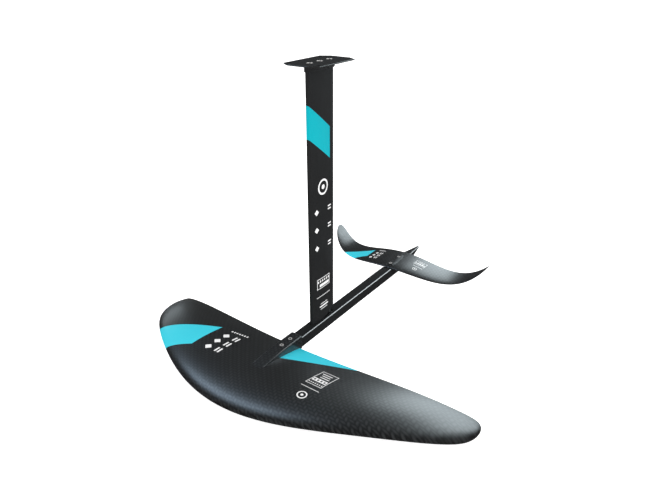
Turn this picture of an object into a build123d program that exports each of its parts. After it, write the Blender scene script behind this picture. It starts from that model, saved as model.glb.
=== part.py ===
"""Hydrofoil for a surf, SUP or wing board: top plate, aluminium mast, fuselage, front wing
and stabiliser, bolted together.

Millimetres.  The origin is the centre of the plate's top face, which is bolted to the board.
+Z points up into the board, +X along the span to port, and +Y aft along the fuselage.
"""
from build123d import *
import os
from math import sin, radians, sqrt

# ---- where the big pieces lie -------------------------------------------------------------
MAST_REACH = 761.0          # board face down to the fuselage's top face
FUSE_TOP = -MAST_REACH

# ---- top plate ----------------------------------------------------------------------------
PLATE_LENGTH = 186.0        # fore and aft
PLATE_WIDTH = 112.0
PLATE_CUT_X = 26.0          # cut corners
PLATE_CUT_Y = 17.0
PLATE_THICK = 8.0
RIM_CHAMFER = 0.8
PLATE_EDGE = 3.0            # thickness left at the rim, below it the underside tapers in
PLATE_TAPER = 80.0          # degrees from vertical
TRACK_SPACING = 90.0        # the board's two tracks
SLOT_PITCH = 132.0          # between the front and rear slots
SLOT_WIDTH = 8.5
SLOT_LENGTH = 12.0
COLLAR_DROP = 13.0          # socket below the plate that the mast head sits in
COLLAR_WALL = 3.0

# ---- mast ---------------------------------------------------------------------------------
NOSE_Y = -57.5
NOSE_BEVEL_Y = -53.0
TAIL_BEVEL_Y = 47.5
TAIL_Y = 58.5
NOSE_HALF = 5.6             # half thickness where the nose meets the flank
MAST_HALF = 8.5             # half thickness at mid chord
TAIL_HALF = 5.7             # half thickness where the rear bevel starts
TAIL_EDGE_HALF = 0.9
CELL_WIDTH = 9.4
CELL_LENGTH = 26.0
MAST_SCREW_PITCH = 42.0
MAST_SCREW_Y = (-MAST_SCREW_PITCH, 0.0, MAST_SCREW_PITCH)
FOOT_DEPTH = 18.0           # how far the mast foot sits in the fuselage
FOOT_INSET = 1.0            # the foot is slimmer than the mast by this much all round
FOOT_TAIL_Y = 52.0
FIT = 0.25                  # gap all round a part that slides into another

# ---- fuselage -----------------------------------------------------------------------------
FUSE_WIDTH = 34.4
FUSE_HEIGHT = 34.4
FUSE_BOTTOM = FUSE_TOP - FUSE_HEIGHT
FUSE_CHAMFER = 1.7
SHOULDER_Y = -124.6         # where the bar meets the front wing
TONGUE_FRONT_Y = -214.0
TONGUE_WIDTH = 25.0
TONGUE_TOP = FUSE_TOP - 6.0
TONGUE_HEIGHT = 22.0
SEAT_FRONT_Y = 395.0        # flat the stabiliser sits on
SEAT_REAR_Y = 512.0
SEAT_DEPTH = 5.0
TAIL_START_Y = 526.0
FUSE_END_Y = 636.0
TAIL_TIP_SIZE = 8.0
TAIL_TIP_DROP = 11.5        # tip's centre below the fuselage's top

# ---- front wing: s is the fraction of the half span, q its square ---------------------------
WING_HALF_SPAN = 564.0
WING_NOSE_Y = -455.0
WING_TAIL_Y = -138.0
WING_TAIL_Z = -29.0         # trailing edge below the fuselage's top, at the centre
WING_TWIST = 0.0185         # rise per length from the trailing to the leading edge
WING_THICKNESS = 0.125      # of the chord
WING_CAMBER = 0.03
WING_TIP_POWER = 56         # how late the tip starts to round off
WING_SKIN = 1.6

# ---- stabiliser ---------------------------------------------------------------------------
STAB_HALF_SPAN = 316.0
STAB_NOSE_Y = 399.6
STAB_TAIL_Y = 529.5
STAB_TAIL_Z = 7.5
STAB_TWIST = -0.06
STAB_THICKNESS = 0.083
STAB_TIP_POWER = 6.74
STAB_SKIN = 1.2

TRAILING_EDGE = 1.0         # thickness left at each wing's trailing edge
BOND = 0.2                  # glue line between bonded pieces

# ---- wing hubs ----------------------------------------------------------------------------
HUB_HALF_WIDTH = 20.0
HUB_FRONT_Y = -345.0
HUB_REAR_Y = -125.0
HUB_BOTTOM = -35.5
HUB_CROWN = 9.0             # top of the hub above the fuselage's top, on the centre line
HUB_SHOULDER = 3.0          # and at its sides
STAB_HUB_FRONT_Y = 403.0
STAB_HUB_REAR_Y = 505.0
STAB_HUB_WIDTH = 34.0
STAB_HUB_CROWN = 10.0
STAB_HUB_SHOULDER = 7.5

# ---- fasteners ----------------------------------------------------------------------------
M8_SHANK = 4.0              # radii
M8_HEAD = 7.9
M8_SOCKET = 2.5             # half across the flats of the hexagon
M8_CLEAR = 4.3
M8_CAP_HEAD = 6.5
M8_CAP_SOCKET = 3.0
M8_CAP_HEIGHT = 8.0
M6_SHANK = 3.0
M6_HEAD = 6.0
M6_SOCKET = 2.0
M6_CLEAR = 3.3
CUP_RADIUS = 7.8            # countersunk cup under each wing screw's head
CUP_HEIGHT = 6.0
INSERT_WALL = 0.75          # stainless thread insert
INSERT_GAP = 0.08           # between a thread and what it runs in
SINK = 0.3                  # how far a screw head sits below the surface
FRONT_SCREW_Y = (-195.0, -157.0)
STAB_SCREW_Y = (420.0, 482.0)
PLATE_SCREW_LENGTH = 32.0
FOOT_SCREW_LENGTH = 22.0
FRONT_SCREW_LENGTH = 28.0
STAB_SCREW_LENGTH = 26.0
COUNTERBORE_DEPTH = 9.0
COUNTERBORE_RADIUS = 7.4


# ---- small helpers ------------------------------------------------------------------------
def column(radius, y, low, high):
    """Upright cylinder on the centre line at y, from z low to z high."""
    return Pos(0, y, (low + high) / 2) * Cylinder(radius, high - low)


def box(x_half, y_low, y_high, z_low, z_high):
    """Box centred on x = 0."""
    size = Box(2 * x_half, y_high - y_low, z_high - z_low)
    return Pos(0, (y_low + y_high) / 2, (z_low + z_high) / 2) * size


def sunk_screw(shank, head, socket, length):
    """Countersunk socket screw with its head's face at z = 0, pointing down."""
    cone = head - shank
    rim = 0.6
    body = Pos(0, 0, -rim / 2) * Cylinder(head, rim)
    body += Pos(0, 0, -rim - cone / 2) * Cone(shank, head, cone)
    body += Pos(0, 0, -length / 2) * Cylinder(shank, length)
    hexagon = RegularPolygon(socket, 6, major_radius=False)
    return body - extrude(hexagon, -1.1 * cone)


def sunk_hole(clear, head, depth):
    """Room for a countersunk screw whose head's face is at z = 0."""
    wide = head + 0.2
    rim = 1.0
    cone = wide - clear
    room = Pos(0, 0, 5 - rim / 2) * Cylinder(wide, 10 + rim)
    room += Pos(0, 0, -rim - cone / 2) * Cone(clear, wide, cone)
    return room + Pos(0, 0, -depth / 2) * Cylinder(clear, depth)


def thread_insert(shank, length):
    """Thin stainless sleeve that carries the thread, its mouth at z = 0, reaching down."""
    sleeve = Cylinder(shank + INSERT_GAP + INSERT_WALL, length)
    sleeve -= Cylinder(shank + INSERT_GAP, 2 * length)
    return Pos(0, 0, -length / 2) * sleeve


def insert_bore(shank):
    """Radius of the hole that a thread insert is wound into."""
    return shank + INSERT_WALL + 2 * INSERT_GAP


def group(solids):
    """Separate solids kept together in one node."""
    return Compound(children=[solid for part in solids for solid in part.solids()])


# ---- mast section -------------------------------------------------------------------------
def mast_section(growth=0.0, tail_y=TAIL_Y):
    """Plan section: blunt nose, long nearly flat flanks and a short bevel to the tail."""
    mid_y = (NOSE_BEVEL_Y + TAIL_BEVEL_Y) / 2
    bevel = (TAIL_HALF - TAIL_EDGE_HALF) / (TAIL_Y - TAIL_BEVEL_Y)
    nose = (0, NOSE_Y - growth)
    front = (NOSE_HALF + growth, NOSE_BEVEL_Y)
    middle = (MAST_HALF + growth, mid_y)
    rear = (TAIL_HALF + growth, TAIL_BEVEL_Y)
    tail = (rear[0] - bevel * (tail_y - TAIL_BEVEL_Y), tail_y + max(growth, 0))
    flank = [
        Spline(nose, front, tangents=((1, 0), (0.35, 1))),
        ThreePointArc(front, middle, rear),
        Line(rear, tail),
    ]
    edges = flank + [mirror(edge, Plane.YZ) for edge in flank]
    edges.append(Line(tail, (-tail[0], tail[1])))
    return make_face([edge.edge() for edge in edges])


def foot_section(gap):
    """Plan section of the slimmer foot that drops into the fuselage, grown by a gap."""
    return mast_section(gap - FOOT_INSET, FOOT_TAIL_Y + gap)


def prism(face, low, high):
    """Plan face raised from z low to z high."""
    return extrude(Pos(0, 0, low) * face, high - low)


# ---- pieces above the water ---------------------------------------------------------------
def make_top_plate():
    """Cut-cornered plate with four board slots, three countersinks and the mast's socket."""
    x = PLATE_WIDTH / 2
    y = PLATE_LENGTH / 2
    corner = [(x, y - PLATE_CUT_Y), (x - PLATE_CUT_X, y)]
    rim = [(sx * px, sy * py) for sx, sy in ((1, 1), (-1, 1), (-1, -1), (1, -1))
           for px, py in (corner if sx * sy > 0 else corner[::-1])]
    outline = make_face(Polyline(*rim, close=True).edges())
    plate = prism(outline, -PLATE_EDGE, 0)
    plate = chamfer(plate.edges().group_by(Axis.Z)[-1], RIM_CHAMFER)
    lower = Pos(0, 0, -PLATE_EDGE) * outline
    plate += extrude(lower, PLATE_THICK - PLATE_EDGE, dir=(0, 0, -1), taper=PLATE_TAPER)
    collar = mast_section(COLLAR_WALL)
    socket = mast_section(FIT)
    plate += prism(collar, -PLATE_THICK - COLLAR_DROP, -PLATE_THICK + 1)
    plate -= prism(socket, -PLATE_THICK - COLLAR_DROP - 1, -PLATE_THICK)
    slot = prism(SlotOverall(SLOT_LENGTH, SLOT_WIDTH), -PLATE_THICK - 1, 1)
    for sx in (-1, 1):
        for sy in (-1, 1):
            plate -= Pos(sx * TRACK_SPACING / 2, sy * SLOT_PITCH / 2, 0) * slot
    for screw_y in MAST_SCREW_Y:
        plate -= Pos(0, screw_y, -SINK) * sunk_hole(M8_CLEAR, M8_HEAD, PLATE_THICK + 2)
    return plate


def make_mast():
    """Hollow aluminium section with two cells and three full-length screw channels."""
    low = FUSE_TOP - FOOT_DEPTH
    high = -PLATE_THICK - 0.05
    mast = prism(mast_section(), FUSE_TOP + 0.05, high)
    mast += prism(foot_section(0), low, FUSE_TOP + 1)
    cell = RectangleRounded(CELL_WIDTH, CELL_LENGTH, 4)
    for side in (-1, 1):
        mast -= prism(Pos(0, side * MAST_SCREW_PITCH / 2) * cell, low - 1, high + 1)
    seat = insert_bore(M8_SHANK)
    for screw_y in MAST_SCREW_Y:
        mast -= column(M8_SHANK - 0.6, screw_y, low - 1, high + 1)
        mast -= column(seat, screw_y, high - PLATE_SCREW_LENGTH, high + 1)
        mast -= column(seat, screw_y, low - 1, low + FOOT_SCREW_LENGTH)
    return mast


def make_plate_screws():
    """Countersunk screws down through the plate into the mast head."""
    screw = sunk_screw(M8_SHANK, M8_HEAD, M8_SOCKET, PLATE_SCREW_LENGTH)
    return group([Pos(0, y, -SINK) * screw for y in MAST_SCREW_Y])


def make_head_inserts():
    """Thread inserts in the mast head."""
    mouth = -PLATE_THICK - 1.5
    return group([Pos(0, y, mouth) * thread_insert(M8_SHANK, 20) for y in MAST_SCREW_Y])


# ---- fuselage and the pieces in it ----------------------------------------------------------
def bar_section(width, height, chamfer_size, y, centre_z):
    """Upright rectangle with cut corners, in the plane y = const."""
    plane = Plane(origin=(0, y, centre_z), x_dir=(1, 0, 0), z_dir=(0, -1, 0))
    corners = chamfer(Rectangle(width, height).vertices(), chamfer_size)
    return plane * corners


def make_fuselage():
    """Square bar with a tongue for the front wing, a mast pocket, a seat and a tapered tail."""
    mid_z = FUSE_TOP - FUSE_HEIGHT / 2
    start = bar_section(FUSE_WIDTH, FUSE_HEIGHT, FUSE_CHAMFER, SHOULDER_Y, mid_z)
    bar = extrude(start, SHOULDER_Y - TAIL_START_Y)
    wide = bar_section(FUSE_WIDTH, FUSE_HEIGHT, FUSE_CHAMFER, TAIL_START_Y, mid_z)
    tip_z = FUSE_TOP - TAIL_TIP_DROP
    tip = bar_section(TAIL_TIP_SIZE, TAIL_TIP_SIZE, 2.4, FUSE_END_Y, tip_z)
    bar += loft([wide, tip], ruled=True)
    tongue = box(TONGUE_WIDTH / 2, TONGUE_FRONT_Y, SHOULDER_Y + 1,
                 TONGUE_TOP - TONGUE_HEIGHT, TONGUE_TOP)
    nose_edges = tongue.edges().filter_by(Axis.X, reverse=True).group_by(Axis.Y)[0]
    bar += chamfer(nose_edges, 2.5)
    seat_floor = FUSE_TOP - SEAT_DEPTH
    bar -= box(FUSE_WIDTH, SEAT_FRONT_Y, SEAT_REAR_Y, seat_floor, FUSE_TOP + 1)
    bar -= prism(foot_section(FIT), FUSE_TOP - FOOT_DEPTH, FUSE_TOP + 1)
    for y in MAST_SCREW_Y:
        bar -= column(M8_CLEAR, y, FUSE_BOTTOM - 1, FUSE_TOP)
        bar -= column(COUNTERBORE_RADIUS, y, FUSE_BOTTOM - 1, FUSE_BOTTOM + COUNTERBORE_DEPTH)
    bore = insert_bore(M6_SHANK)
    for y in FRONT_SCREW_Y:
        bar -= column(bore, y, TONGUE_TOP - 19, TONGUE_TOP + 1)
    for y in STAB_SCREW_Y:
        bar -= column(bore, y, seat_floor - 20, seat_floor + 1)
    return bar


def make_foot_screws():
    """Cap screws up through the fuselage into the mast foot."""
    seat_z = FUSE_BOTTOM + COUNTERBORE_DEPTH
    screw = Pos(0, 0, -M8_CAP_HEIGHT / 2) * Cylinder(M8_CAP_HEAD, M8_CAP_HEIGHT)
    screw += Pos(0, 0, FOOT_SCREW_LENGTH / 2) * Cylinder(M8_SHANK, FOOT_SCREW_LENGTH)
    hexagon = RegularPolygon(M8_CAP_SOCKET, 6, major_radius=False)
    screw -= extrude(Pos(0, 0, -M8_CAP_HEIGHT) * hexagon, 4)
    return group([Pos(0, y, seat_z) * screw for y in MAST_SCREW_Y])


def make_foot_inserts():
    """Thread inserts in the mast foot, which stop short of its end face."""
    top = FUSE_TOP - FOOT_DEPTH + 1.0 + 18
    return group([Pos(0, y, top) * thread_insert(M8_SHANK, 18) for y in MAST_SCREW_Y])


def make_nose_inserts():
    """Thread inserts in the fuselage's tongue."""
    mouth = TONGUE_TOP - 0.5
    return group([Pos(0, y, mouth) * thread_insert(M6_SHANK, 16) for y in FRONT_SCREW_Y])


def make_tail_inserts():
    """Thread inserts below the stabiliser's seat."""
    mouth = FUSE_TOP - SEAT_DEPTH - 0.5
    return group([Pos(0, y, mouth) * thread_insert(M6_SHANK, 16) for y in STAB_SCREW_Y])


# ---- wings --------------------------------------------------------------------------------
class FrontWing:
    """Half-moon wing whose tips droop."""
    half_span = WING_HALF_SPAN
    thickness = WING_THICKNESS
    camber = WING_CAMBER
    twist = WING_TWIST
    skin = WING_SKIN
    core_reach = 0.90
    core_rear = 0.86

    def edges_at(s):
        """Leading edge, trailing edge and trailing edge height at the span fraction s."""
        q = s * s
        nose = WING_NOSE_Y + 353 * q - 121 * q**2 + 85 * q**4
        tail = WING_TAIL_Y + 54.5 * q + 30 * q**2
        height = WING_TAIL_Z + 13 * q - 81 * q**2
        return rounded_tip(nose, tail, s, WING_TIP_POWER) + (FUSE_TOP + height,)


class Stabiliser:
    """Swept tailplane that dips at mid span and curls up at the tips."""
    half_span = STAB_HALF_SPAN
    thickness = STAB_THICKNESS
    camber = 0.0
    twist = STAB_TWIST
    skin = STAB_SKIN
    core_reach = 0.72
    core_rear = 0.74

    def edges_at(s):
        """Leading edge, trailing edge and trailing edge height at the span fraction s."""
        q = s * s
        nose = STAB_NOSE_Y + 118 * q - 18.6 * q**2
        tail = STAB_TAIL_Y + 5.9 * q + 75.5 * q**2
        height = STAB_TAIL_Z - 120.5 * q + 145 * s**4.24
        return rounded_tip(nose, tail, s, STAB_TIP_POWER) + (FUSE_TOP + height,)


def rounded_tip(nose, tail, s, power):
    """Draws the two edges together as the tip is reached."""
    middle = (nose + tail) / 2
    half_chord = (tail - nose) / 2 * sqrt(1 - s**power)
    return middle - half_chord, middle + half_chord


def half_depth(x):
    """Half thickness of a classic symmetrical section of unit thickness, x along the chord."""
    return 5 * (0.2969 * sqrt(x) - 0.1260 * x - 0.3516 * x**2 + 0.2843 * x**3 - 0.1036 * x**4)


def section_point(wing, s, x, side, inset=0.0, gap=0.0):
    """Point of a wing section: side is 1 for the top, -1 for the bottom, 0 for the middle."""
    nose, tail, height = wing.edges_at(abs(s))
    chord = tail - nose
    middle = 4 * wing.camber * x * (1 - x) * chord
    depth = wing.thickness * half_depth(x) * chord + TRAILING_EDGE / 2 * x - inset
    base = height + wing.twist * (1 - x) * chord
    return Vector(s * wing.half_span, nose + x * chord, base + middle + side * depth + gap)


def loft_sections(wing, reach, outline):
    """Solid through the outline's sections from one tip to the other."""
    turns = [0, 12, 24, 36, 48, 58, 66, 73, 79, 84, 88]
    fractions = [reach * sin(radians(turn)) for turn in turns]
    spans = [-s for s in fractions[:0:-1]] + fractions
    return Solid.make_loft([outline(wing, s) for s in spans])


def half_outline(side):
    """Outline of the upper (1) or lower (-1) moulding, split along the section's middle."""
    stops = [0, 0.012, 0.045, 0.10, 0.18, 0.30, 0.45, 0.60, 0.75, 0.88, 1]

    def outline(wing, s):
        split = side * BOND / 2
        outer = [section_point(wing, s, x, side) for x in stops]
        outer[0] = section_point(wing, s, 0, 0, gap=split)
        inner = [section_point(wing, s, x, 0, gap=split) for x in (0, 0.25, 0.5, 0.75, 1)]
        curve = Edge.make_spline(outer)
        middle = Edge.make_spline(inner)
        return Wire([curve, Edge.make_line(outer[-1], inner[-1]), middle])

    return outline


def core_outline(clear):
    """Outline of the hollow between the skins, drawn in by clear on every side."""
    def outline(wing, s):
        nose, tail, _ = wing.edges_at(abs(s))
        margin = clear / (tail - nose)
        front = 0.07 + margin
        rear = wing.core_rear - margin
        stops = [front + (rear - front) * k / 5 for k in range(6)]
        inset = wing.skin + clear
        top = [section_point(wing, s, x, 1, inset) for x in stops]
        bottom = [section_point(wing, s, x, -1, inset) for x in stops]
        return Wire([
            Edge.make_spline(top), Edge.make_line(top[-1], bottom[-1]),
            Edge.make_spline(bottom), Edge.make_line(bottom[0], top[0]),
        ])

    return outline


def make_wing(wing, hub_room):
    """Upper skin, lower skin and core, all cut clear of the hub."""
    whole = 0.9985
    hollow = loft_sections(wing, wing.core_reach, core_outline(0))
    upper = loft_sections(wing, whole, half_outline(1)) - hollow - hub_room
    lower = loft_sections(wing, whole, half_outline(-1)) - hollow - hub_room
    inner_reach = wing.core_reach - BOND / wing.half_span
    core = loft_sections(wing, inner_reach, core_outline(BOND)) - hub_room
    return upper, lower, core


# ---- hubs and what holds them --------------------------------------------------------------
def crowned_profile(half_width, low, shoulder, crown):
    """Face in the plane y = 0: flat bottom, upright sides and a gently arched top."""
    edges = [
        Line((-half_width, low), (half_width, low)),
        Line((half_width, low), (half_width, shoulder)),
        ThreePointArc((half_width, shoulder), (0, crown), (-half_width, shoulder)),
        Line((-half_width, shoulder), (-half_width, low)),
    ]
    return Plane.XZ * make_face([edge.edge() for edge in edges])


def hub_side_profile():
    """Face in the plane x = 0: the hub from its nose ramp to its rounded rear foot."""
    foot = FUSE_TOP + HUB_BOTTOM
    top = FUSE_TOP + HUB_CROWN + 1
    edges = Polyline(
        (HUB_FRONT_Y, foot), (HUB_REAR_Y - 6, foot), (HUB_REAR_Y, foot + 7), (HUB_REAR_Y, top),
        (HUB_FRONT_Y + 60, top), (HUB_FRONT_Y + 30, FUSE_TOP + 6.5), (HUB_FRONT_Y, FUSE_TOP + 1),
        close=True).edges()
    return Plane.YZ * make_face(edges)


def screw_room(hub, screw_rows, crown):
    """Cuts the cup seats and clearance holes for the wing screws."""
    top = FUSE_TOP + crown
    for y in screw_rows:
        hub -= column(CUP_RADIUS + 0.1, y, top - CUP_HEIGHT, top + 5)
        hub -= column(M6_CLEAR, y, FUSE_TOP - SEAT_DEPTH - 5, top)
    return hub


def make_front_hub():
    """Solid laminate block moulded into the wing, with the socket for the fuselage's tongue."""
    across = crowned_profile(HUB_HALF_WIDTH, FUSE_TOP + HUB_BOTTOM,
                             FUSE_TOP + HUB_SHOULDER, FUSE_TOP + HUB_CROWN)
    hub = extrude(Pos(0, HUB_REAR_Y, 0) * across, HUB_REAR_Y - HUB_FRONT_Y, dir=(0, -1, 0))
    side = extrude(hub_side_profile(), HUB_HALF_WIDTH + 1, both=True)
    hub = hub & side
    hub -= box(TONGUE_WIDTH / 2 + FIT, TONGUE_FRONT_Y - 1, HUB_REAR_Y + 1,
               TONGUE_TOP - TONGUE_HEIGHT - FIT, TONGUE_TOP + FIT)
    return screw_room(hub, FRONT_SCREW_Y, HUB_CROWN)


def stab_hub_plan(growth):
    """Long oval in plan, grown by the given amount."""
    length = STAB_HUB_REAR_Y - STAB_HUB_FRONT_Y + 2 * growth
    middle = (STAB_HUB_REAR_Y + STAB_HUB_FRONT_Y) / 2
    return Pos(0, middle) * SlotOverall(length, STAB_HUB_WIDTH + 2 * growth, rotation=90)


def make_stab_hub():
    """Oval solid block through the stabiliser, with a flat foot on the fuselage's seat."""
    foot = FUSE_TOP - SEAT_DEPTH
    across = crowned_profile(STAB_HUB_WIDTH, foot, FUSE_TOP + STAB_HUB_SHOULDER - 4,
                             FUSE_TOP + STAB_HUB_CROWN)
    length = STAB_HUB_REAR_Y - STAB_HUB_FRONT_Y + 2
    hub = extrude(Pos(0, STAB_HUB_REAR_Y + 1, 0) * across, length, dir=(0, -1, 0))
    hub = hub & prism(stab_hub_plan(0), foot, FUSE_TOP + STAB_HUB_CROWN + 1)
    return screw_room(hub, STAB_SCREW_Y, STAB_HUB_CROWN)


def make_wing_screws(rows, crown, length):
    """Countersunk screws that hold a wing down on the fuselage."""
    screw = sunk_screw(M6_SHANK, M6_HEAD, M6_SOCKET, length)
    return group([Pos(0, y, FUSE_TOP + crown - 2 * SINK) * screw for y in rows])


def make_screw_cups(rows, crown):
    """Countersunk cups let into the hub under the screw heads."""
    top = FUSE_TOP + crown - SINK
    height = CUP_HEIGHT - SINK - 0.05
    cup = Pos(0, 0, -height / 2) * Cylinder(CUP_RADIUS, height)
    cup -= Pos(0, 0, -SINK) * sunk_hole(M6_CLEAR, M6_HEAD, 2 * CUP_HEIGHT)
    return group([Pos(0, y, top) * cup for y in rows])


# ---- assembly -----------------------------------------------------------------------------
def build():
    """Every node of the hydrofoil, by name."""
    block = box(HUB_HALF_WIDTH + BOND, HUB_FRONT_Y - BOND, HUB_REAR_Y + 20,
                FUSE_TOP - 80, FUSE_TOP + 80)
    front_upper, front_lower, front_core = make_wing(FrontWing, block)
    oval = prism(stab_hub_plan(BOND), FUSE_TOP - 40, FUSE_TOP + 40)
    stab_upper, stab_lower, stab_core = make_wing(Stabiliser, oval)
    return {
        "top_plate": make_top_plate(),
        "plate_screws": make_plate_screws(),
        "mast_extrusion": make_mast(),
        "mast_head_thread_inserts": make_head_inserts(),
        "mast_foot_thread_inserts": make_foot_inserts(),
        "mast_foot_screws": make_foot_screws(),
        "fuselage": make_fuselage(),
        "fuselage_nose_thread_inserts": make_nose_inserts(),
        "fuselage_tail_thread_inserts": make_tail_inserts(),
        "front_wing_upper_skin": front_upper,
        "front_wing_lower_skin": front_lower,
        "front_wing_core": front_core,
        "front_wing_hub": make_front_hub(),
        "front_wing_screws": make_wing_screws(FRONT_SCREW_Y, HUB_CROWN, FRONT_SCREW_LENGTH),
        "front_wing_screw_cups": make_screw_cups(FRONT_SCREW_Y, HUB_CROWN),
        "stabiliser_upper_skin": stab_upper,
        "stabiliser_lower_skin": stab_lower,
        "stabiliser_core": stab_core,
        "stabiliser_hub": make_stab_hub(),
        "stabiliser_screws": make_wing_screws(STAB_SCREW_Y, STAB_HUB_CROWN, STAB_SCREW_LENGTH),
        "stabiliser_screw_cups": make_screw_cups(STAB_SCREW_Y, STAB_HUB_CROWN),
    }


os.makedirs("parts", exist_ok=True)
for name, shape in build().items():
    export_step(shape, f"parts/{name}.step")
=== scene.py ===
"""Looks of the hydrofoil: carbon wings, painted mast, anodised aluminium and steel screws.

Blender units are metres, in the CAD model's own frame: the origin is the centre of the top
plate's board face, +Z up, +X along the span to port, +Y aft along the fuselage.
"""
from math import cos, hypot, pi, radians, sin, sqrt

import bmesh
import bpy
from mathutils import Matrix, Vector


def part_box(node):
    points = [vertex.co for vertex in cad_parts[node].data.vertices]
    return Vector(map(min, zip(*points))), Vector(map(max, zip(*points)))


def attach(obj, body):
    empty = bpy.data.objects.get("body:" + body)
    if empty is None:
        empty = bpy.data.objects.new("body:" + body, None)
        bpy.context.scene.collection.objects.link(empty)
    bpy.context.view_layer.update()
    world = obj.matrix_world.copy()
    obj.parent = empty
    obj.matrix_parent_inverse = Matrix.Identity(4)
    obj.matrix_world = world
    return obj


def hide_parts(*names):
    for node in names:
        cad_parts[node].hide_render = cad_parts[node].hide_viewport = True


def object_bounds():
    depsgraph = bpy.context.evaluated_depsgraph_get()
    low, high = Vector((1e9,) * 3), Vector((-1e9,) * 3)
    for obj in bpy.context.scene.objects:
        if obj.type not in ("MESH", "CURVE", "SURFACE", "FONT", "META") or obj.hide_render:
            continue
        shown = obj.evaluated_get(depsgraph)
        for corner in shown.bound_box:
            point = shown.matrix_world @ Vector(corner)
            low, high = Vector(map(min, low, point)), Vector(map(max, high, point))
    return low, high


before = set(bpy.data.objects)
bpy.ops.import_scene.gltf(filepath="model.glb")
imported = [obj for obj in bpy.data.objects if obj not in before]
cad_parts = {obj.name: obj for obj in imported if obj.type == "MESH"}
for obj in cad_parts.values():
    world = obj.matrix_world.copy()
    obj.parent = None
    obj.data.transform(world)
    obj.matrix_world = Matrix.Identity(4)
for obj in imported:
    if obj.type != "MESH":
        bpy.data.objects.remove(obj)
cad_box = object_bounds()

MM = 0.001
BODY = "root"
FUSE_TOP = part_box("fuselage")[1].z          # the fuselage's flat upper face


# ---- mesh helpers ---------------------------------------------------------------------------
def new_object(name, bm, materials, sharp_angle=30):
    """Object from a bmesh, smooth shaded except along edges sharper than the angle."""
    mesh = bpy.data.meshes.new(name)
    bm.normal_update()
    bm.to_mesh(mesh)
    bm.free()
    for material in materials:
        mesh.materials.append(material)
    mesh.polygons.foreach_set("use_smooth", [True] * len(mesh.polygons))
    mesh.set_sharp_from_angle(angle=radians(sharp_angle))
    piece = bpy.data.objects.new(name, mesh)
    bpy.context.scene.collection.objects.link(piece)
    return piece


def skin_rings(bm, rings, cap_ends=True):
    """Quads between closed rings of equally many points."""
    verts = [[bm.verts.new(point) for point in ring] for ring in rings]
    for lower, upper in zip(verts, verts[1:]):
        for k in range(len(lower)):
            n = (k + 1) % len(lower)
            bm.faces.new((lower[k], lower[n], upper[n], upper[k]))
    if cap_ends:
        bm.faces.new(verts[0][::-1])
        bm.faces.new(verts[-1])
    return verts


def clean(bm, distance=1e-6):
    """Merges points that coincide and turns every face outward."""
    bmesh.ops.remove_doubles(bm, verts=bm.verts, dist=distance)
    bmesh.ops.dissolve_degenerate(bm, edges=bm.edges, dist=distance)
    bmesh.ops.recalc_face_normals(bm, faces=bm.faces)


def paint(bm, outline, slot, axes=(0, 1), side=(2, 1)):
    """Cuts a convex outline, in millimetres, into the surface and fills it with a material.

    axes are the two coordinates that the outline is drawn in; side is the coordinate along
    which the painted faces look, and its sign.
    """
    u, v = axes
    facing, sign = side
    points = [(a * MM, b * MM) for a, b in outline]
    middle = (sum(p[0] for p in points) / len(points), sum(p[1] for p in points) / len(points))
    low = [min(p[k] for p in points) for k in (0, 1)]
    high = [max(p[k] for p in points) for k in (0, 1)]

    def near(face):
        if face.normal[facing] * sign < 0.02:
            return False
        us = [vert.co[u] for vert in face.verts]
        vs = [vert.co[v] for vert in face.verts]
        return min(us) < high[0] and max(us) > low[0] and min(vs) < high[1] and max(vs) > low[1]

    inside = [face for face in bm.faces if near(face)]
    for a, b in zip(points, points[1:] + points[:1]):
        across = Vector((0, 0, 0))
        across[u] = b[1] - a[1]
        across[v] = a[0] - b[0]
        origin = Vector((0, 0, 0))
        origin[u], origin[v] = a
        centre = Vector((0, 0, 0))
        centre[u], centre[v] = middle
        if across.dot(centre - origin) > 0:
            across = -across
        parts = set(inside)
        for face in inside:
            parts.update(face.edges)
            parts.update(face.verts)
        cut = bmesh.ops.bisect_plane(bm, geom=list(parts), plane_co=origin,
                                     plane_no=across, dist=1e-7)
        faces = [item for item in cut["geom"] if isinstance(item, bmesh.types.BMFace)]
        inside = [face for face in faces
                  if across.dot(face.calc_center_median() - origin) < 0]
    for face in inside:
        face.material_index = slot


def bar(x, y, length, width, angle=0):
    """Corners of a rectangle centred at x, y, its length turned by the angle in degrees."""
    c, s = cos(radians(angle)), sin(radians(angle))
    corners = ((-1, -1), (1, -1), (1, 1), (-1, 1))
    return [(x + c * i * length / 2 - s * j * width / 2, y + s * i * length / 2 + c * j * width / 2)
            for i, j in corners]


def disc(x, y, radius, sides=20):
    """Corners of a regular outline."""
    return [(x + radius * cos(2 * pi * k / sides), y + radius * sin(2 * pi * k / sides))
            for k in range(sides)]


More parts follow.
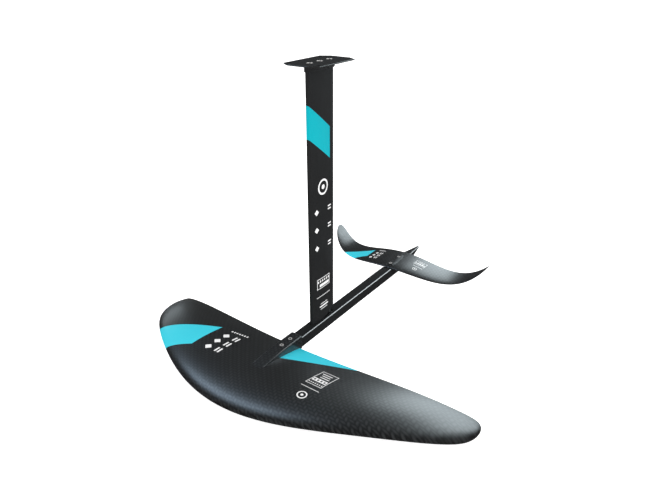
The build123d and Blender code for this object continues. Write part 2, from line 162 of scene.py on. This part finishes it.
# ---- material helpers -----------------------------------------------------------------------
class Nodes:
    """Short calls for building one material's node tree."""

    def __init__(self, name):
        self.material = bpy.data.materials.new(name)
        self.material.use_nodes = True
        self.tree = self.material.node_tree
        self.shader = self.tree.nodes["Principled BSDF"]
        coords = self.tree.nodes.new("ShaderNodeTexCoord")
        self.position = coords.outputs["Object"]
        self.normal = coords.outputs["Normal"]

    def set(self, **values):
        """Values of the shader's own sockets, named with underscores for spaces."""
        for name, value in values.items():
            self.shader.inputs[name.replace("_", " ")].default_value = value

    def link(self, socket, name):
        self.tree.links.new(socket, self.shader.inputs[name])

    def math(self, operation, *values, clamp=False):
        """One math node; each value is a number or a socket."""
        node = self.tree.nodes.new("ShaderNodeMath")
        node.operation = operation
        node.use_clamp = clamp
        for k, value in enumerate(values):
            self.feed(node.inputs[k], value)
        return node.outputs[0]

    def feed(self, socket, value):
        if isinstance(value, bpy.types.NodeSocket):
            self.tree.links.new(value, socket)
        else:
            socket.default_value = value

    def axes(self):
        """The position's three coordinates."""
        node = self.tree.nodes.new("ShaderNodeSeparateXYZ")
        self.tree.links.new(self.position, node.inputs[0])
        return node.outputs

    def stretched(self, scale):
        """The position scaled differently along each axis."""
        node = self.tree.nodes.new("ShaderNodeMapping")
        node.inputs["Scale"].default_value = scale
        self.tree.links.new(self.position, node.inputs["Vector"])
        return node.outputs[0]

    def noise(self, scale, detail=3, stretch=None, roughness=0.5):
        node = self.tree.nodes.new("ShaderNodeTexNoise")
        node.inputs["Scale"].default_value = scale
        node.inputs["Detail"].default_value = detail
        node.inputs["Roughness"].default_value = roughness
        vector = self.stretched(stretch) if stretch else self.position
        self.tree.links.new(vector, node.inputs["Vector"])
        return node.outputs["Fac"]

    def remap(self, value, low, high, to_low, to_high):
        node = self.tree.nodes.new("ShaderNodeMapRange")
        for socket, number in zip(node.inputs[1:5], (low, high, to_low, to_high)):
            socket.default_value = number
        self.tree.links.new(value, node.inputs[0])
        return node.outputs[0]

    def mix(self, factor, a, b):
        """Colour mix; a and b are colours or sockets."""
        node = self.tree.nodes.new("ShaderNodeMix")
        node.data_type = "RGBA"
        self.feed(node.inputs[0], factor)
        self.feed(node.inputs[6], a)
        self.feed(node.inputs[7], b)
        return node.outputs[2]

    def bump(self, height, strength, distance, below=None):
        node = self.tree.nodes.new("ShaderNodeBump")
        node.inputs["Strength"].default_value = strength
        node.inputs["Distance"].default_value = distance
        self.tree.links.new(height, node.inputs["Height"])
        if below is not None:
            self.tree.links.new(below, node.inputs["Normal"])
        return node.outputs[0]


def grey(value, tint=(1.0, 1.0, 1.0)):
    return tuple(value * t for t in tint) + (1.0,)


# ---- materials ------------------------------------------------------------------------------
TOW = 7.7 * MM              # width of one carbon tow


def carbon(name):
    """Two by two twill under a satin lacquer: the twill pattern is the cloth's own, and each
    float's colour brightening towards its crown is a painted highlight.

    The cloth follows the tips up or down, so the height is counted in with x.
    """
    n = Nodes(name)
    x, y, z = n.axes()
    wobble = n.math("MULTIPLY", n.math("SUBTRACT", n.noise(7.0, 2), 0.5), 0.7)
    u = n.math("ADD", n.math("DIVIDE", n.math("ADD", x, z), TOW), wobble)
    v = n.math("ADD", n.math("DIVIDE", y, TOW), wobble)
    across = n.math("FRACT", u)
    along = n.math("FRACT", v)
    step = n.math("FLOORED_MODULO", n.math("ADD", n.math("FLOOR", u), n.math("FLOOR", v)), 4.0)
    weft = n.math("GREATER_THAN", step, 1.5)
    half = n.math("FLOORED_MODULO", step, 2.0)
    swap = n.math("MULTIPLY", weft, n.math("SUBTRACT", along, across))
    width = n.math("ADD", across, swap)
    length = n.math("MULTIPLY", n.math("ADD", n.math("SUBTRACT", along, swap), half), 0.5)
    pillow = n.math("MULTIPLY", n.math("SINE", n.math("MULTIPLY", width, pi)),
                    n.math("SINE", n.math("MULTIPLY", length, pi)))
    pillow = n.math("POWER", n.math("MAXIMUM", pillow, 0.0), 0.8)
    fibres = n.noise(1.0, 2, stretch=(1500, 1500, 300))
    cloud = n.noise(6.0, 4)
    # painted highlight: the base colour follows each float's crown, brightest at its middle, over
    # the twill's own pattern
    tone = n.math("MULTIPLY", pillow, n.remap(weft, 0, 1, 1.0, 0.85))
    tone = n.math("MULTIPLY", tone, n.remap(fibres, 0.2, 0.8, 0.8, 1.1))
    tone = n.math("MULTIPLY", tone, n.remap(cloud, 0.3, 0.7, 0.75, 1.2), clamp=True)
    n.link(n.mix(tone, grey(0.0008), grey(0.028, (0.93, 1.0, 1.05))), "Base Color")
    n.link(n.remap(tone, 0, 1, 0.38, 0.33), "Roughness")
    weave = n.bump(pillow, 0.12, 0.3 * MM)
    orange_peel = n.noise(260, 2)
    n.link(n.bump(orange_peel, 0.06, 0.1 * MM, weave), "Normal")
    n.set(Specular_IOR_Level=0.12, Coat_Weight=1.0, Coat_Roughness=0.34, Coat_IOR=1.5)
    return n.material


def sprayed_paint(name, colour, dark, gloss=0.3):
    """Sprayed paint with a little unevenness and fine dust under the lacquer."""
    n = Nodes(name)
    cloud = n.noise(5.0, 3)
    dust = n.noise(700, 2)
    tone = n.math("MULTIPLY", n.remap(cloud, 0.3, 0.7, 0.0, 0.8), n.remap(dust, 0.3, 0.7, 0.7, 1.0))
    n.link(n.mix(tone, colour, dark), "Base Color")
    n.link(n.remap(dust, 0.3, 0.7, 0.36, 0.44), "Roughness")
    n.link(n.bump(n.noise(320, 2), 0.06, 0.1 * MM), "Normal")
    n.set(Specular_IOR_Level=gloss, Coat_Weight=gloss * 0.7, Coat_Roughness=0.22)
    return n.material


def anodised(name, grain, tone=0.008, rough=0.40, shine=0.15, edge=0.0):
    """Black anodised aluminium; grain is the stretch of its fine extrusion lines.

    Bevelled edges that face +X and up are smoother; with edge above 0 they are shinier by that
    much and get a painted highlight: their colour is lightened towards grey in patches.
    """
    n = Nodes(name)
    lines = n.noise(1.0, 3, stretch=grain)
    cloud = n.noise(7.0, 4)
    scuffs = n.remap(n.noise(1.0, 4, stretch=tuple(g * 0.25 for g in grain), roughness=0.7),
                     0.62, 0.72, 0.0, 1.0)
    facing = n.tree.nodes.new("ShaderNodeSeparateXYZ")
    n.tree.links.new(n.normal, facing.inputs[0])
    sideways, _, upward = facing.outputs
    bevel = n.math("MULTIPLY", n.math("GREATER_THAN", sideways, 0.45),
                   n.math("GREATER_THAN", upward, 0.45))
    mixed = n.math("MULTIPLY", n.remap(lines, 0.3, 0.7, 0.4, 1.0),
                   n.remap(cloud, 0.3, 0.7, 0.75, 1.1), clamp=True)
    base = n.mix(mixed, grey(tone * 0.6), grey(tone * 1.25, (0.95, 1.0, 1.05)))
    base = n.mix(n.math("MULTIPLY", scuffs, 0.25), base, grey(tone * 2.6))
    n.set(Specular_IOR_Level=shine)
    if edge:
        # painted highlight: the bevel facing +X and up is lightened towards grey in patches,
        # standing in for the light along that chamfer
        patches = n.remap(n.noise(90, 3), 0.2, 0.6, edge * 0.7, edge)
        painted_edge_highlight = n.math("MULTIPLY", bevel, patches, clamp=True)
        base = n.mix(painted_edge_highlight, base, grey(0.55, (0.95, 1.0, 1.03)))
        level = n.math("ADD", n.math("MULTIPLY", bevel, edge), shine)
        n.link(level, "Specular IOR Level")
    n.link(base, "Base Color")
    smooth_edge = n.math("MULTIPLY", bevel, -0.15)
    satin = n.remap(mixed, 0, 1, rough + 0.08, rough - 0.05)
    n.link(n.math("ADD", satin, smooth_edge), "Roughness")
    n.link(n.bump(lines, 0.10, 0.05 * MM), "Normal")
    return n.material


def screw_rows(node, count=2):
    """Places along y of the round pieces in a node, in metres, nose to tail."""
    low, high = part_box(node)
    first = low.y + (high.x - low.x) / 2
    last = high.y - (high.x - low.x) / 2
    return [first + (last - first) * k / (count - 1) for k in range(count)]


def steel(name, tone=0.55, rough=0.30, metal=1.0, sockets=(), socket_shade_radius=2.8):
    """Turned stainless steel with fine marks and darker stains.

    sockets are the places along y of upright screws whose sockets are painted near black, a painted
    shade for the recess.
    """
    n = Nodes(name)
    fine = n.noise(1800, 2)
    stain = n.noise(220, 3)
    shade = n.math("MULTIPLY", n.remap(fine, 0.3, 0.7, 0.8, 1.0),
                   n.remap(stain, 0.35, 0.7, 0.8, 1.0), clamp=True)
    x, y, _ = n.axes()
    # painted shade: a near-black disc round each place stands in for the shade inside the screw's
    # socket
    for middle in sockets:
        along = n.math("SUBTRACT", y, middle)
        square = n.math("ADD", n.math("MULTIPLY", x, x), n.math("MULTIPLY", along, along))
        rim = n.math("GREATER_THAN", square, (socket_shade_radius * MM) ** 2)
        shade = n.math("MULTIPLY", shade, rim)
    # with sockets the dark end of the mix is near black, painted shade in the sockets; without, it
    # is the darker stain tone
    dark = grey(0.01) if sockets else grey(tone * 0.5)
    n.link(n.mix(shade, dark, grey(tone, (1.0, 0.99, 0.96))), "Base Color")
    n.link(n.remap(fine, 0.3, 0.7, rough - 0.06, rough + 0.1), "Roughness")
    n.link(n.bump(fine, 0.08, 0.03 * MM), "Normal")
    n.set(Metallic=metal)
    return n.material


CARBON = carbon("carbon_twill")
CYAN = sprayed_paint("cyan_paint", (0.02, 0.62, 0.76, 1), (0.02, 0.56, 0.70, 1), 0.4)
MAST_CYAN = sprayed_paint("mast_cyan_paint", (0.001, 0.36, 0.42, 1), (0.001, 0.31, 0.37, 1), 0.05)
WHITE = sprayed_paint("white_marks", grey(0.86), grey(0.72))
MAST_BLACK = anodised("mast_anodised", (2200, 2200, 14), tone=0.015)
# the fuselage: edge paints a highlight along its +X upper chamfer
BAR_BLACK = anodised("bar_anodised", (2200, 14, 2200), tone=0.012, edge=0.55)
PLATE_BLACK = anodised("plate_anodised", (900, 900, 900), tone=0.014, rough=0.42, shine=0.3)
CUP_GREY = anodised("cup_anodised", (1800, 1800, 300), tone=0.02, rough=0.35, shine=0.3)
STEEL = steel("stainless_steel")
# painted highlight and shade: the plate screws are white diffuse instead of metal, a painted glint,
# and a wide near-black disc round each socket is painted shade
PLATE_SCREW_PAINTED_LIGHT = steel("plate_screw_painted_glint_and_shade", tone=1.0, rough=0.45, metal=0.0,
                    sockets=screw_rows("plate_screws", 3), socket_shade_radius=4.2)
# the wing screws' sockets are painted near black, a painted shade
WING_STEEL = steel("wing_screw_steel", tone=0.5, rough=0.4, metal=0.3,
                   sockets=screw_rows("front_wing_screws") + screw_rows("stabiliser_screws"))


# ---- wings ----------------------------------------------------------------------------------
EDGE = 1.0                  # trailing edge thickness, mm


def rounded_tip(nose, tail, s, power):
    """Draws the two edges together as the tip is reached."""
    middle = (nose + tail) / 2
    half_chord = (tail - nose) / 2 * sqrt(max(0.0, 1 - s**power))
    return middle - half_chord, middle + half_chord


class FrontWing:
    """Half-moon wing whose tips droop."""
    half_span = 562.6
    thickness = 0.125
    camber = 0.03
    twist = 0.0185

    def edges_at(s):
        """Leading edge, trailing edge and trailing edge height at the span fraction s."""
        q = s * s
        nose = -455 + 353 * q - 121 * q**2 + 85 * q**4
        tail = -138 + 54.5 * q + 30 * q**2
        return rounded_tip(nose, tail, s, 56) + (-29 + 13 * q - 81 * q**2,)


class Stabiliser:
    """Swept tailplane that dips at mid span and curls up at the tips."""
    half_span = 315.2
    thickness = 0.083
    camber = 0.0
    twist = -0.06

    def edges_at(s):
        """Leading edge, trailing edge and trailing edge height at the span fraction s."""
        q = s * s
        nose = 399.6 + 118 * q - 18.6 * q**2
        tail = 529.5 + 5.9 * q + 75.5 * q**2
        return rounded_tip(nose, tail, s, 6.74) + (7.5 - 120.5 * q + 145 * s**4.24,)


def half_depth(x):
    """Half thickness of a classic symmetrical section of unit thickness, x along the chord."""
    return 5 * (0.2969 * sqrt(x) - 0.1260 * x - 0.3516 * x**2 + 0.2843 * x**3 - 0.1036 * x**4)


def wing_point(wing, s, x, side):
    """Point of the wing's upper (1) or lower (-1) surface."""
    nose, tail, height = wing.edges_at(min(1.0, abs(s)))
    chord = tail - nose
    middle = 4 * wing.camber * x * (1 - x) * chord
    edge = EDGE / 2 * x * min(1.0, chord / 20)
    depth = wing.thickness * half_depth(x) * chord + edge
    base = height + wing.twist * (1 - x) * chord
    z = FUSE_TOP + (base + middle + side * depth) * MM
    return Vector((s * wing.half_span * MM, (nose + x * chord) * MM, z))


def wing_mesh(wing, spans, chords):
    """Closed mesh of a wing: rings around the section, crowded at the nose and the tips."""
    turns = [k / spans for k in range(-spans, spans + 1)]
    stations = [sin(pi / 2 * turn) for turn in turns]
    steps = [(1 - cos(pi * k / chords)) / 2 for k in range(chords + 1)]
    rings = []
    for s in stations:
        upper = [wing_point(wing, s, x, 1) for x in steps[::-1]]
        lower = [wing_point(wing, s, x, -1) for x in steps[1:]]
        rings.append(upper + lower)
    bm = bmesh.new()
    skin_rings(bm, rings)
    clean(bm, 2e-5)
    return bm


def slab(corner, width, length, lean, u, v, du, dv):
    """Corners of a small box inside a leaning panel; u and v run from 0 to 1 across it."""
    x, y = corner

    def at(a, b):
        return x + width * a + lean * b, y + length * b

    return [at(u - du / 2, v - dv / 2), at(u + du / 2, v - dv / 2),
            at(u + du / 2, v + dv / 2), at(u - du / 2, v + dv / 2)]


def spec_panel(bm, corner, width, length, lean):
    """Plain frame with rules, boxes and ticks in it, in place of printed text."""
    shape = (corner, width, length, lean)
    paint(bm, slab(*shape, 0.5, 0.5, 1.0, 1.0), 2)
    paint(bm, slab(*shape, 0.5, 0.5, 0.93, 0.95), 0)
    for k, reach in enumerate((0.62, 0.50, 0.56)):
        paint(bm, slab(*shape, 0.45 + 0.05 * k, 0.84 - 0.13 * k, reach, 0.045), 2)
    paint(bm, slab(*shape, 0.5, 0.36, 0.84, 0.20), 2)
    for k in range(4):
        paint(bm, slab(*shape, 0.20 + 0.20 * k, 0.36, 0.10, 0.10), 0)
    for k in range(7):
        paint(bm, slab(*shape, 0.11 + 0.13 * k, 0.13, 0.05, 0.07), 2)


def target_mark(bm, x, y, radius, black, white, **where):
    """Plain ring and dot."""
    paint(bm, disc(x, y, radius), white, **where)
    paint(bm, disc(x, y, radius * 0.76), black, **where)
    paint(bm, disc(x, y, radius * 0.30, 12), white, **where)


def make_front_wing():
    """Carbon half-moon wing with its cyan flashes and white marks."""
    bm = wing_mesh(FrontWing, 110, 44)
    paint(bm, [(-223, -207), (-226, -327), (-330, -385), (-450, -321)], 1)
    paint(bm, [(12, -233), (214, -133), (214, -110), (12, -110)], 1)
    for k in range(3):
        y = -311 + 36 * k
        paint(bm, disc(-175, y, 12, 4), 2)
        paint(bm, bar(-144, y + 3, 22, 5.5, 90), 2)
        paint(bm, bar(-133, y + 3, 22, 5.5, 90), 2)
    for k in range(7):
        paint(bm, bar(-181 + 9 * k, -207 + k, 5, 7), 2)
    spec_panel(bm, (145, -276), 51, 71, 9)
    paint(bm, bar(172, -292, 57, 1.8), 2)
    target_mark(bm, 172, -325, 14, 0, 2)
    wing = new_object("front_wing_laminate", bm, [CARBON, CYAN, WHITE], 40)
    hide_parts("front_wing_upper_skin", "front_wing_lower_skin", "front_wing_core")
    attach(wing, BODY)
    return wing


def make_stabiliser():
    """Carbon stabiliser with one cyan flash and small white marks."""
    bm = wing_mesh(Stabiliser, 80, 36)
    paint(bm, [(-113, 504), (-115, 449), (-180, 418), (-260, 438)], 1)
    for k in range(3):
        y = 442 + 19 * k
        paint(bm, disc(-97 + 3 * k, y, 7, 4), 2)
        paint(bm, bar(-80 + 2 * k, y, 12, 3.5, 90), 2)
        paint(bm, bar(-73 + 2 * k, y, 12, 3.5, 90), 2)
    paint(bm, bar(-81, 504, 27, 4), 2)
    spec_panel(bm, (65, 475), 42, 30, 0)
    paint(bm, bar(87, 464, 37, 1.6), 2)
    target_mark(bm, 84, 446, 8, 0, 2)
    blade = new_object("stabiliser_laminate", bm, [CARBON, CYAN, WHITE], 40)
    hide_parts("stabiliser_upper_skin", "stabiliser_lower_skin", "stabiliser_core")
    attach(blade, BODY)
    return blade


# ---- hubs -----------------------------------------------------------------------------------
CUP_HOLE = 7.85             # radius of the hole round a screw cup
HOLE_FLOOR = 1.0            # bottom of that hole above the fuselage's top
HOLE_TOP = 30.0             # well clear of the hub
HUB_HALF_WIDTH = 20.0
HUB_TOP = 8.9               # above the fuselage's top
HUB_FALL = 7.1              # how far the hub sinks over HUB_SLOPE_LENGTH
HUB_SLOPE_Y = -195.0        # where it starts to sink towards the nose
HUB_SLOPE_LENGTH = 110.0
HUB_END = 3.0               # length of the rounded rear end
PAD_TOP = 9.9
PAD_FALL = 3.2


def hub_ring(y, half_width, top, crown, bottom, corner, points=10):
    """Closed section across a hub: flat foot, upright sides, rounded shoulders, crowned top."""
    ring = []
    for side in (1, -1):
        half = []
        foot = min(3.0, half_width * 0.3)
        half.append((half_width - foot, bottom))
        half.append((half_width - foot * 0.3, bottom + foot * 0.3))
        half.append((half_width, bottom + foot))
        shoulder = top - crown - corner
        half.append((half_width, (bottom + foot + shoulder) / 2))
        for k in range(points + 1):
            turn = pi / 2 * k / points
            half.append((half_width - corner * (1 - cos(turn)), shoulder + corner * sin(turn)))
        inner = half_width - corner
        for k in range(1, points + 1):
            x = inner * (1 - k / points)
            half.append((x, top - crown * (x / inner) ** 2))
        if side == -1:
            half = half[-2::-1]
        ring += [(side * x, z) for x, z in half]
    return [Vector((x * MM, y * MM, FUSE_TOP + z * MM)) for x, z in ring]


def drill(piece, rows):
    """Cuts the screw cups' upright round holes into a hub."""
    bm = bmesh.new()
    radius = CUP_HOLE * MM
    circle = [(radius * cos(2 * pi * k / 48), radius * sin(2 * pi * k / 48)) for k in range(48)]
    for y in rows:
        rings = [[Vector((u, y + v, FUSE_TOP + z * MM)) for u, v in circle]
                 for z in (HOLE_FLOOR, HOLE_TOP)]
        skin_rings(bm, rings)
    bmesh.ops.recalc_face_normals(bm, faces=bm.faces)
    cutter = new_object("cutter", bm, [])
    modifier = piece.modifiers.new("holes", "BOOLEAN")
    modifier.object = cutter
    modifier.operation = "DIFFERENCE"
    modifier.solver = "EXACT"
    depsgraph = bpy.context.evaluated_depsgraph_get()
    mesh = bpy.data.meshes.new_from_object(piece.evaluated_get(depsgraph))
    piece.modifiers.clear()
    piece.data = mesh
    mesh.set_sharp_from_angle(angle=radians(35))
    bpy.data.objects.remove(cutter)


def make_front_hub():
    """Moulded carbon fairing that holds the fuselage's tongue and sinks into the wing."""
    low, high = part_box("front_wing_hub")
    nose, tail = low.y / MM, high.y / MM
    bottom = (low.z - FUSE_TOP) / MM
    rings = []
    count = 80
    for k in range(count + 1):
        t = k / count
        y = nose + (tail - nose) * t
        sink = max(0.0, HUB_SLOPE_Y - y) / HUB_SLOPE_LENGTH
        top = HUB_TOP - HUB_FALL * sink**1.6
        end = sqrt(max(0.0, 1 - max(0.0, 1 - (tail - y) / HUB_END) ** 2))
        rings.append(hub_ring(y, HUB_HALF_WIDTH - 1.5 * (1 - end), top - 1.5 * (1 - end), 0.5,
                              bottom + HUB_END * (1 - end), 4.0 + 1.5 * t))
    bm = bmesh.new()
    skin_rings(bm, rings)
    clean(bm)
    hub = new_object("front_wing_fairing", bm, [CARBON], 35)
    drill(hub, screw_rows("front_wing_screw_cups"))
    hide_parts("front_wing_hub")
    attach(hub, BODY)
    return hub


def make_stab_hub():
    """Raised oval pad under the stabiliser's screws."""
    low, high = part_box("stabiliser_hub")
    nose, tail = low.y / MM, high.y / MM
    bottom = (low.z - FUSE_TOP) / MM
    full = high.x / MM
    rings = []
    count = 56
    for k in range(count + 1):
        t = 0.5 - 0.5 * cos(pi * k / count)
        y = nose + (tail - nose) * t
        oval = max(0.02, sqrt(max(0.0, 1 - abs(2 * t - 1) ** 3.2)))
        top = PAD_TOP - PAD_FALL * (1 - t) ** 2
        rings.append(hub_ring(y, full * oval, top - 0.8 * (1 - oval), 1.0 * oval, bottom,
                              min(1.8, full * oval * 0.5)))
    bm = bmesh.new()
    skin_rings(bm, rings)
    clean(bm)
    hub = new_object("stabiliser_pad", bm, [CARBON], 35)
    drill(hub, screw_rows("stabiliser_screw_cups"))
    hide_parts("stabiliser_hub")
    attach(hub, BODY)
    return hub


# ---- mast -----------------------------------------------------------------------------------
NOSE_Y = -57.5
NOSE_BEVEL_Y = -53.0
TAIL_BEVEL_Y = 47.5
TAIL_Y = 58.5
NOSE_HALF = 5.6
MAST_HALF = 8.5
TAIL_HALF = 5.7
TAIL_EDGE_HALF = 0.9
PLATE_THICK = 8.0
FOOT_RADIUS = 46.0          # the flank's lower rear corner is rounded off in a bevel
FOOT_BEVEL = 5.0            # height of the bevel along the foot
FOOT_BEVEL_RATE = 0.34      # taken off the half thickness per length into the bevel


def flank(y):
    """Half thickness of the mast at y, from the blunt nose to the tail bevel."""
    if y < NOSE_BEVEL_Y:
        t = (y - NOSE_Y) / (NOSE_BEVEL_Y - NOSE_Y)
        return NOSE_HALF * sqrt(max(0.0, 1 - (1 - t) ** 2))
    if y > TAIL_BEVEL_Y:
        t = (y - TAIL_BEVEL_Y) / (TAIL_Y - TAIL_BEVEL_Y)
        return TAIL_HALF + (TAIL_EDGE_HALF - TAIL_HALF) * t
    middle = (NOSE_BEVEL_Y + TAIL_BEVEL_Y) / 2
    reach = (TAIL_BEVEL_Y - NOSE_BEVEL_Y) / 2
    t = (y - middle) / reach
    ends = NOSE_HALF if t < 0 else TAIL_HALF
    return MAST_HALF - (MAST_HALF - ends) * t * t


def foot_bevel(y, z):
    """How much the foot's bevel takes off the half thickness, z above the fuselage."""
    centre_y = TAIL_BEVEL_Y - FOOT_RADIUS
    centre_z = FOOT_BEVEL + FOOT_RADIUS
    if y > centre_y and z < centre_z:
        outside = hypot(y - centre_y, z - centre_z) - FOOT_RADIUS
    else:
        outside = FOOT_BEVEL - z
    return FOOT_BEVEL_RATE * max(0.0, outside)


def mast_levels():
    """Heights above the fuselage, fine at the foot, in millimetres."""
    head = -FUSE_TOP / MM - PLATE_THICK
    fine = [0.0] + [1.2 * k for k in range(1, 48)]
    coarse = [fine[-1] + (head - fine[-1]) * k / 40 for k in range(1, 41)]
    return fine + coarse


def make_mast():
    """Black mast blade with its cyan band and white marks on both flanks."""
    nose = [NOSE_Y + 4.5 * (1 - cos(pi / 2 * k / 9)) for k in range(10)]
    body = [NOSE_BEVEL_Y + (TAIL_BEVEL_Y - NOSE_BEVEL_Y) * k / 56 for k in range(1, 57)]
    tail = [TAIL_BEVEL_Y + (TAIL_Y - TAIL_BEVEL_Y) * k / 6 for k in range(1, 7)]
    places = nose + body + tail
    rings = []
    for z in mast_levels():
        right = []
        for y in places:
            base = flank(y)
            floor = min(base, TAIL_EDGE_HALF if y > 0 else base)
            right.append((max(floor, base - foot_bevel(y, z)), y))
        left = [(-x, y) for x, y in right[::-1] if x > 1e-9]
        rings.append([Vector((x * MM, y * MM, FUSE_TOP + z * MM)) for x, y in right + left])
    bm = bmesh.new()
    skin_rings(bm, rings)
    clean(bm)
    for side in (1, -1):
        mark_mast(bm, side)
    mast = new_object("mast_blade", bm, [MAST_BLACK, MAST_CYAN, WHITE], 12)
    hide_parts("mast_extrusion")
    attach(mast, BODY)
    return mast


BAND_SLOPE = -0.77          # fall of the band's edges per length towards the tail
BAND_TOP = 658.0            # height above the fuselage of its upper edge at the nose
BAND_BOTTOM = 570.6
BAND_REAR_Y = 33.0
RING_HEIGHT = 427           # heights above the fuselage of the marks below the band
ROW_HEIGHTS = (358, 304, 247)
PANEL_HEIGHT = 128
RULE_HEIGHT = 84
STRIPES_HEIGHT = 57


def mark_mast(bm, side):
    """Cyan band round the nose, and plain marks down one flank."""
    where = dict(axes=(1, 2), side=(0, side))
    base = FUSE_TOP / MM

    def edge(y, start):
        return base + start + BAND_SLOPE * (y - NOSE_Y)

    front = NOSE_Y - 2
    paint(bm, [(front, edge(front, BAND_TOP)), (BAND_REAR_Y, edge(BAND_REAR_Y, BAND_TOP)),
               (BAND_REAR_Y, edge(BAND_REAR_Y, BAND_BOTTOM)), (front, edge(front, BAND_BOTTOM))],
          1, **where)
    target_mark(bm, -1, base + RING_HEIGHT, 23, 0, 2, **where)
    for row in ROW_HEIGHTS:
        paint(bm, disc(-31, base + row, 9, 4), 2, **where)
        paint(bm, bar(30, base + row + 4.5, 16, 4, 0), 2, **where)
        paint(bm, bar(30, base + row - 4.5, 16, 4, 0), 2, **where)
    panel_z = base + PANEL_HEIGHT
    paint(bm, bar(-2, panel_z, 62, 34), 2, **where)
    paint(bm, bar(-2, panel_z, 58, 30), 0, **where)
    for k in range(6):
        paint(bm, bar(-27 + 10 * k, panel_z + 7, 5, 7), 2, **where)
    paint(bm, bar(2, panel_z - 7, 46, 9), 2, **where)
    paint(bm, bar(-2, base + RULE_HEIGHT, 66, 2.0), 2, **where)
    for k, width in enumerate((34, 42, 34)):
        z = base + STRIPES_HEIGHT - 9 * k
        paint(bm, bar(-1, z, width, 5 if k == 1 else 2.2), 2, **where)


# ---- CAD pieces that keep their shape ---------------------------------------------------------
def finish_cad(material, *nodes):
    """Gives carried-over CAD nodes their material."""
    for node in nodes:
        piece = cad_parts[node]
        piece.data.materials.clear()
        piece.data.materials.append(material)


def finish_all_cad():
    finish_cad(PLATE_BLACK, "top_plate")
    finish_cad(BAR_BLACK, "fuselage")
    finish_cad(CUP_GREY, "front_wing_screw_cups", "stabiliser_screw_cups")
    finish_cad(PLATE_SCREW_PAINTED_LIGHT, "plate_screws")
    finish_cad(WING_STEEL, "front_wing_screws", "stabiliser_screws")
    finish_cad(STEEL, "mast_foot_screws", "mast_head_thread_inserts", "mast_foot_thread_inserts",
               "fuselage_nose_thread_inserts", "fuselage_tail_thread_inserts")


# ---- studio -----------------------------------------------------------------------------------
CAMERA_AT = (0.91361, -1.24912, 0.22596)
CAMERA_AZIMUTH = 34.94
CAMERA_ELEVATION = 26.03
LENS = 31.94


def make_camera():
    camera = bpy.data.cameras.new("camera")
    camera.lens = LENS
    camera.sensor_width = 36
    piece = bpy.data.objects.new("camera", camera)
    piece.location = CAMERA_AT
    piece.rotation_euler = (radians(90 - CAMERA_ELEVATION), 0, radians(CAMERA_AZIMUTH))
    bpy.context.scene.collection.objects.link(piece)
    bpy.context.scene.camera = piece


def area_light(name, place, target, size, radiance, colour=(1, 1, 1), mirrored=True):
    """Softbox aimed at a target: a mirrored one shows in shiny faces, any other only lights."""
    light = bpy.data.lights.new(name, "AREA")
    light.shape = "RECTANGLE"
    light.size, light.size_y = size
    light.energy = radiance * pi * size[0] * size[1]
    light.color = colour
    piece = bpy.data.objects.new(name, light)
    piece.location = place
    aim = Vector(target) - Vector(place)
    piece.rotation_euler = aim.to_track_quat("-Z", "Y").to_euler()
    piece.visible_glossy = mirrored
    piece.visible_diffuse = not mirrored
    bpy.context.scene.collection.objects.link(piece)


def make_lights():
    centre = (0, 0, FUSE_TOP)
    nose = (0, -0.43, FUSE_TOP)
    cool = (0.83, 0.95, 1.0)
    blue = (0.62, 0.80, 1.0)
    area_light("back_softbox", (0.9, 4.0, 1.4), centre, (4.2, 2.5), 6.2, cool)
    area_light("top_fill", (0.4, -0.4, 2.6), centre, (2.4, 2.4), 1.3, mirrored=False)
    area_light("side_fill", (3.0, -1.2, 0.6), centre, (2.0, 2.0), 1.0, mirrored=False)
    area_light("nose_strip", (-2.2, -0.3, 2.7), nose, (0.7, 3.0), 10, blue)
    area_light("high_softbox", (2.8, 4.0, 3.9), centre, (3.5, 2.2), 2.5, cool)
    area_light("tip_strip", (-3.55, 1.4, -0.45), (-0.45, -0.2, FUSE_TOP), (1.2, 0.5), 2.0, cool)


def make_world():
    """White to the camera and to what it lights, and dark to what mirrors it."""
    world = bpy.data.worlds.new("studio")
    world.use_nodes = True
    tree = world.node_tree
    back = tree.nodes["Background"]
    path = tree.nodes.new("ShaderNodeLightPath")
    strength = tree.nodes.new("ShaderNodeMapRange")
    strength.inputs[3].default_value = 1.0
    strength.inputs[4].default_value = 0.07
    tree.links.new(path.outputs["Is Glossy Ray"], strength.inputs[0])
    tree.links.new(strength.outputs[0], back.inputs["Strength"])
    back.inputs["Color"].default_value = (1, 1, 1, 1)
    bpy.context.scene.world = world


FLOOR_REACH = 40
FLOOR_GAP = 0.0005          # below the wing tips


def make_floor():
    """Pale studio floor just below the wing tips, left out of reflections."""
    n = Nodes("floor")
    n.link(n.mix(n.noise(3.0, 2), grey(0.93), grey(0.96)), "Base Color")
    n.set(Roughness=0.9, Specular_IOR_Level=0.1,
          Emission_Color=(1, 1, 1, 1), Emission_Strength=0.8)
    bm = bmesh.new()
    level = cad_box[0][2] - FLOOR_GAP
    corners = [(-FLOOR_REACH, -FLOOR_REACH), (FLOOR_REACH, -FLOOR_REACH),
               (FLOOR_REACH, FLOOR_REACH), (-FLOOR_REACH, FLOOR_REACH)]
    bm.faces.new([bm.verts.new((x, y, level)) for x, y in corners])
    floor = new_object("floor", bm, [n.material])
    floor.visible_glossy = False


make_camera()
make_world()
make_lights()
make_floor()
make_front_wing()
make_front_hub()
make_stabiliser()
make_stab_hub()
make_mast()
finish_all_cad()
bpy.context.scene.view_settings.view_transform = "Standard"
